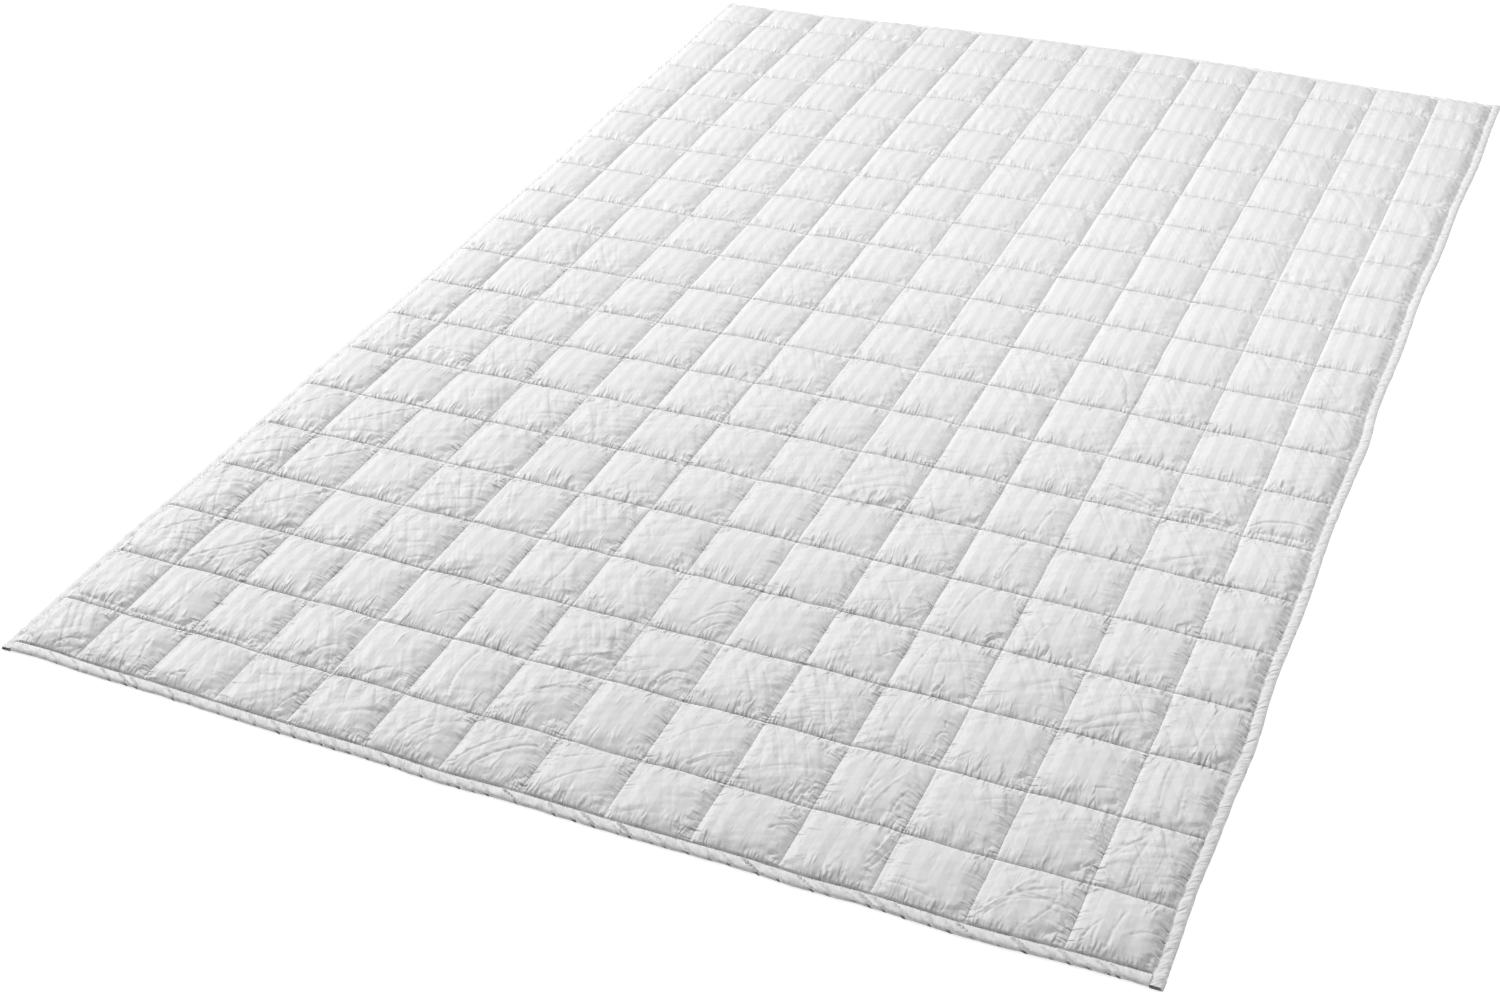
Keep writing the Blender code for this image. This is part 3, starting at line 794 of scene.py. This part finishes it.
def seam_stitches():
    """The thread along every seam between pockets."""
    lines = []
    for x in ACROSS[1:-1]:
        y = np.linspace(MARGIN, LENGTH - MARGIN, 500)
        from_cross = np.abs(y[:, None] - ALONG).min(1)
        lines.append(np.stack([*spread(x + 0 * y, y), SEAM_TOP + 0.0003 + drawn_in(from_cross, 0)], -1))
    for y in ALONG[1:-1]:
        x = np.linspace(MARGIN, WIDTH - MARGIN, 350)
        lines.append(np.stack([*spread(x, y + 0 * x), 0 * x + SEAM_TOP + 0.0003], -1))
    return stitched("seam_stitches", lines)


def edge_stitches():
    """The double line of thread along the tape's inner edge."""
    lines = []
    for inward, height in ((0.0128, 0.0052), (MARGIN + 0.0002, SEAM_TOP + 0.0007)):
        x = np.linspace(inward, WIDTH - inward, 400)
        y = np.linspace(inward, LENGTH - inward, 600)
        for where in (inward, LENGTH - inward):
            lines.append(np.stack([*laid(x, where + 0 * x), 0 * x + height], -1))
        for where in (inward, WIDTH - inward):
            lines.append(np.stack([*laid(where + 0 * y, y), 0 * y + height], -1))
    return stitched("edge_stitches", lines, 0.0007)


# ------------------------------------------------------------
# Finishes
# ------------------------------------------------------------
class Value:
    """A node's output, so that shader maths can be written as plain expressions."""

    def __init__(self, finish, socket):
        self.finish, self.socket = finish, socket

    def maths(self, operation, *values):
        return self.finish.node("Math", {"operation": operation}, dict(enumerate(values)))

    def __add__(self, other):
        return self.maths("ADD", self, other)

    def __radd__(self, other):
        return self.maths("ADD", other, self)

    def __sub__(self, other):
        return self.maths("SUBTRACT", self, other)

    def __rsub__(self, other):
        return self.maths("SUBTRACT", other, self)

    def __mul__(self, other):
        return self.maths("MULTIPLY", self, other)

    def __rmul__(self, other):
        return self.maths("MULTIPLY", other, self)

    def __truediv__(self, other):
        return self.maths("DIVIDE", self, other)

    def wave(self):
        return self.maths("SINE", self)

    def part(self):
        """What is left over whole numbers."""
        return self.maths("FRACT", self)

    def exp(self):
        return self.maths("EXPONENT", self)

    def fall(self, other):
        """e to the power of this value, negative, over another."""
        return self.maths("POWER", math.e, self * (-1 / other))

    def lesser(self, other):
        return self.maths("MINIMUM", self, other)

    def folded(self):
        """A noise folded over its middle, so that it has sharp creases there."""
        return self.maths("ABSOLUTE", self - 0.5)

    def band(self, low, high):
        """1 where this value lies between low and high, falling away softly on both sides."""
        soft = (high - low) / 2
        return self.step(low - soft / 2, low + soft / 2) * (1 - self.step(high - soft, high + soft))

    def step(self, low, high):
        """From 0 to 1 as this value goes from low to high, smoothly."""
        settings = {"interpolation_type": "SMOOTHSTEP"}
        inputs = {"Value": self, "From Min": low, "From Max": high}
        return self.finish.node("MapRange", settings, inputs, "Result")


class Finish:
    """A material that is built node by node."""

    def __init__(self, name, **constants):
        self.material = bpy.data.materials.new(name)
        self.material.use_nodes = True
        self.nodes, self.links = self.material.node_tree.nodes, self.material.node_tree.links
        self.shader = self.nodes["Principled BSDF"]
        for label, value in constants.items():
            self.shader.inputs[label.replace("_", " ")].default_value = value

    def node(self, kind, settings=None, inputs=None, output=0):
        made = self.nodes.new("ShaderNode" + kind)
        for label, value in (settings or {}).items():
            setattr(made, label, value)
        for label, value in (inputs or {}).items():
            self.put(made.inputs[label], value)
        return Value(self, made.outputs[output])

    def put(self, socket, value):
        if isinstance(value, Value):
            self.links.new(value.socket, socket)
        else:
            socket.default_value = value

    def feed(self, label, value):
        self.put(self.shader.inputs[label], value)

    def map(self, label):
        """The two coordinates of one of the piece's own maps."""
        place = self.node("UVMap", {"uv_map": label})
        split = self.nodes.new("ShaderNodeSeparateXYZ")
        self.links.new(place.socket, split.inputs[0])
        return Value(self, split.outputs[0]), Value(self, split.outputs[1])

    def place(self):
        """The three coordinates of a piece's points in the blanket's own frame."""
        split = self.nodes.new("ShaderNodeSeparateXYZ")
        self.links.new(self.node("TexCoord", {}, {}, 3).socket, split.inputs[0])
        return [Value(self, output) for output in split.outputs]

    def point(self, x=0.0, y=0.0, z=0.0):
        return self.node("CombineXYZ", {}, {0: x, 1: y, 2: z})

    def noise(self, place, detail=2.0, roughness=0.5):
        inputs = {"Vector": place, "Scale": 1.0, "Detail": detail, "Roughness": roughness}
        return self.node("TexNoise", {}, inputs, 0)

    def mixed(self, share, first, second):
        """A colour between two others."""
        made = self.nodes.new("ShaderNodeMix")
        made.data_type = "RGBA"
        self.put(made.inputs[0], share)
        self.put(made.inputs[6], first)
        self.put(made.inputs[7], second)
        return Value(self, made.outputs[2])

    def bump(self, height):
        normal = self.node("Bump", {}, {"Height": height, "Distance": 1.0, "Strength": 1.0})
        self.feed("Normal", normal)


def satin_stripe():
    """White cotton in lengthwise satin and plain stripes, drawn up by its seams, with painted sheen on the
    satin stripes, and painted highlights and painted shade beside the seams and the tape.
    """
    sheen = {"Sheen_Weight": 0.12, "Sheen_Roughness": 0.4}
    f = Finish("white_satin_stripe", Specular_IOR_Level=0.38, IOR=1.42, **sheen)
    x, y = f.map("cloth")
    u, v = f.map("pockets")
    across, along = u.part(), v.part()
    beside_x = across.lesser(1 - across) * POCKET
    beside_y = along.lesser(1 - along) * POCKET
    stripe = (x * (math.tau / STRIPES)).wave().step(-0.25, 0.25)
    cloudy = f.noise(f.point(x * 9, y * 9, 0.3), 3.0)
    fine = f.noise(f.point(x * 1400, y * 500, 0.0), 1.0)
    # the stripes are a woven pattern; the satin stripes' lighter colour is painted sheen
    white = f.mixed(stripe, (0.715, 0.715, 0.726, 1), (0.785, 0.785, 0.789, 1))
    white = f.mixed((cloudy - 0.5) * 0.25 + 0.12, white, (0.70, 0.70, 0.71, 1))
    # painted, as the photo is lit: light rims on the back and left sides, shade at the seams on the
    # others, and a lighter band beside the tape
    right_half, back_half = across.step(0.499, 0.501), along.step(0.499, 0.501)
    sewn = x.lesser(WIDTH - x).lesser(y).lesser(LENGTH - y).step(MARGIN + 0.002, MARGIN + 0.004) * 0.75 + 0.25
    rim = (1 - sewn) * 1.2 + beside_x.band(0.0008, 0.0042) * (1 - right_half) * 0.28
    rim = rim + beside_y.band(0.0008, 0.0040) * back_half
    shade = beside_x.fall(0.0016) * right_half * 0.10 + beside_y.fall(0.0014) * (1 - back_half) * 0.5
    # a blotchy band of painted shade along the pockets beside the right-hand tape
    blotchy_painted_shade = f.noise(f.point(x * 60, y * 150, 3.0), 1.0).step(0.40, 0.62) * 0.30 + 0.14
    shade = shade * sewn + u.step(COLUMNS - 0.13, COLUMNS - 0.07) * blotchy_painted_shade
    white = f.mixed(rim * 0.75, white, (0.93, 0.93, 0.93, 1))
    f.feed("Base Color", f.mixed(shade, white, (0.40, 0.39, 0.395, 1)))
    f.feed("Roughness", 0.62 - stripe * 0.09 + (cloudy - 0.5) * 0.1)
    # how much each stretch of seam draws the cloth up, and how crumpled each pocket is
    drawn = f.noise(f.point(u * 2.6, v * 2.6, 2.0), 2.0).step(0.36, 0.66) + 0.22
    crumpled = f.noise(f.point(u * 0.7, v * 0.7, 9.0), 2.0).step(0.42, 0.68) * 0.75 + 0.27
    calmer = v.step(5, 14)  # further from the front, the cloth is less wrinkled
    crumpled = crumpled * (1.2 - calmer * 0.7)
    # sharp puckers of uneven length that run away from each seam
    far_x = f.noise(f.point(y * 120, u * 3, 11.0), 1.0).step(0.35, 0.75) * 0.011 + 0.003
    far_y = f.noise(f.point(x * 110, v * 3, 12.0), 1.0).step(0.35, 0.75) * 0.020 + 0.0035
    pull_x = f.noise(f.point(y * 150, beside_x * 40, u * 0.9), 0.7).folded()
    pull_y = f.noise(f.point(x * 150, beside_y * 40, v * 0.9 + 7), 0.7).folded()
    puckers = pull_x * (0 - beside_x / far_x).exp() + pull_y * (0 - beside_y / far_y).exp()
    puckers = puckers * drawn * (1.3 - calmer * 0.75)
    # long sharp creases that cross each other, buckles between them, and fine crinkles
    long = f.noise(f.point(x * 46 + y * 26, y * 6 - x * 5, 6.0), 1.5).folded()
    steep = f.noise(f.point(x * 18 - y * 38, x * 7 + y * 4, 8.0), 1.5).folded()
    buckles = f.noise(f.point(x * 34, y * 26, 4.0), 0.5)
    crinkles = f.noise(f.point(x * 130, y * 100, 5.0), 2.0, 0.6)
    creases = long * 0.0088 + steep * 0.0072 + buckles * 0.0028 + crinkles * 0.0008
    f.bump(puckers * 0.0110 + creases * crumpled + fine * 0.00006)
    return f.material


def binding_cloth():
    """Plain white cotton tape, drawn in by its stitches, with painted shade along its lower side."""
    f = Finish("white_tape", Sheen_Weight=0.2, Sheen_Roughness=0.5, IOR=1.42)
    s, run = f.map("cloth")
    cloudy = f.noise(f.point(s * 40, run * 60, 0.0), 3.0)
    white = f.mixed((cloudy - 0.35) * 0.5, (0.81, 0.81, 0.812, 1), (0.70, 0.70, 0.71, 1))
    # painted shade: the tape's colour darkens towards its lower side, next to the floor
    z = f.place()[2]
    low, lowest = 1 - z.step(0.0008, 0.0048), 1 - z.step(0.0004, 0.0026)
    f.feed("Base Color", f.mixed(low * 0.55 + lowest * 0.40, white, (0.22, 0.22, 0.215, 1)))
    f.feed("Roughness", 0.66 + (cloudy - 0.5) * 0.15)
    gathers = f.noise(f.point(s * 110 + run * 90, run * 40, 3.0), 2.0).folded()
    weave = (s * 5000).wave() * (run * 5000).wave()
    f.bump(gathers * 0.0042 + weave * 0.00002)
    return f.material


def thread(name, light, dark):
    """Fine sewing thread, lighter and greyer in random patches."""
    f = Finish(name, Sheen_Weight=0.1)
    place = f.node("TexCoord", {}, {}, 3)
    shade = f.noise(f.node("VectorMath", {"operation": "SCALE"}, {0: place, "Scale": 260.0}), 1.0)
    f.feed("Base Color", f.mixed(shade, (*light, 1), (*dark, 1)))
    f.feed("Roughness", 0.45 + shade * 0.2)
    return f.material


def pale_floor():
    f = Finish("pale_floor", Emission_Color=(1, 1, 1, 1), Emission_Strength=0.75)
    place = f.node("TexCoord", {}, {}, 3)
    shade = f.noise(f.node("VectorMath", {"operation": "SCALE"}, {0: place, "Scale": 1.5}), 2.0)
    f.feed("Base Color", f.mixed(shade, (0.50, 0.50, 0.50, 1), (0.53, 0.53, 0.53, 1)))
    f.feed("Roughness", 0.9)
    return f.material


# ------------------------------------------------------------
# Floor, light and camera
# ------------------------------------------------------------
def floor():
    bpy.ops.object.select_all(action="DESELECT")
    bpy.ops.mesh.primitive_plane_add(size=14, location=(0, 0, 0))
    ground = bpy.context.object
    ground.name = "floor"
    ground.data.materials.append(pale_floor())
    ground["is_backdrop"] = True


def lamp(name, kind, place, aim, power, colour, **settings):
    light = bpy.data.lights.new(name, kind)
    light.energy, light.color = power, colour
    for label, value in settings.items():
        setattr(light, label, value)
    holder = bpy.data.objects.new(name, light)
    holder.location = place
    holder.rotation_euler = (Vector(aim) - Vector(place)).to_track_quat("-Z", "Y").to_euler()
    bpy.context.scene.collection.objects.link(holder)


def studio():
    """Soft light from all round, a large lamp at the left and a smaller one over the right."""
    world = bpy.data.worlds.new("studio")
    world.use_nodes = True
    world.node_tree.nodes["Background"].inputs["Color"].default_value = (1.0, 1.0, 1.0, 1)
    world.node_tree.nodes["Background"].inputs["Strength"].default_value = 0.26
    bpy.context.scene.world = world
    lamp("left", "AREA", (-4.2, 0.9, 3.0), (0, 0.1, 0), 215, (1.0, 1.0, 1.0), shape="DISK", size=1.2)
    lamp("right", "AREA", (1.0, 0.5, 2.4), (0, 0.1, 0), 34, (1.0, 1.0, 1.0), shape="DISK", size=1.2)
    bpy.context.scene.view_settings.view_transform = "Standard"


def camera():
    """The photograph's view, found from the crossings of the seams."""
    forward = Vector((-0.3515, 0.7494, -0.5612)).normalized()
    right = Vector((0.9169, 0.3967, -0.0444)).normalized()
    turned = Matrix((right, right.cross(forward), -forward)).transposed().to_4x4()
    turned.translation = Vector((1.6971 - MIDDLE[0], -1.2900 - MIDDLE[1], 1.5469 + SEAM_TOP))
    lens = bpy.data.cameras.new("camera")
    lens.lens, lens.sensor_width = 49.80, 36.0
    lens.shift_x, lens.shift_y = -0.0547, -0.0555
    lens.dof.use_dof = False
    holder = bpy.data.objects.new("camera", lens)
    holder.matrix_world = turned
    bpy.context.scene.collection.objects.link(holder)
    bpy.context.scene.camera = holder


# ------------------------------------------------------------
# Put together
# ------------------------------------------------------------
def dressed(piece, node, finish):
    """Gives a piece its finish, and the CAD node that it stands for."""
    piece.data.materials.append(finish)
    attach(piece, "root")
    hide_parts(node)


camera()
studio()
floor()
satin, tape = satin_stripe(), binding_cloth()
bank = blown_up()
usual = usual_pocket(bank)
panels = [quilt_panel(bank, usual, number) for number in range(ROWS // PANEL_ROWS)]
for panel in panels:
    dressed(panel, "quilt", satin)
for node, strip in tape_strips().items():
    dressed(strip, node, tape)
# the seam thread is white; its grey is painted shade, standing in for the shade deep in the seams
seam_thread = thread("white_thread", (0.70, 0.68, 0.685), (0.52, 0.50, 0.505))
edge_thread = thread("greyish_thread", (0.62, 0.575, 0.585), (0.50, 0.455, 0.465))
for stitches, used in ((seam_stitches(), seam_thread), (edge_stitches(), edge_thread)):
    stitches.data.materials.append(used)
    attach(stitches, "root")

boxes = {"cad": cad_box, "scene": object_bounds()}
{name: [list(corner) for corner in box] for name, box in boxes.items()}
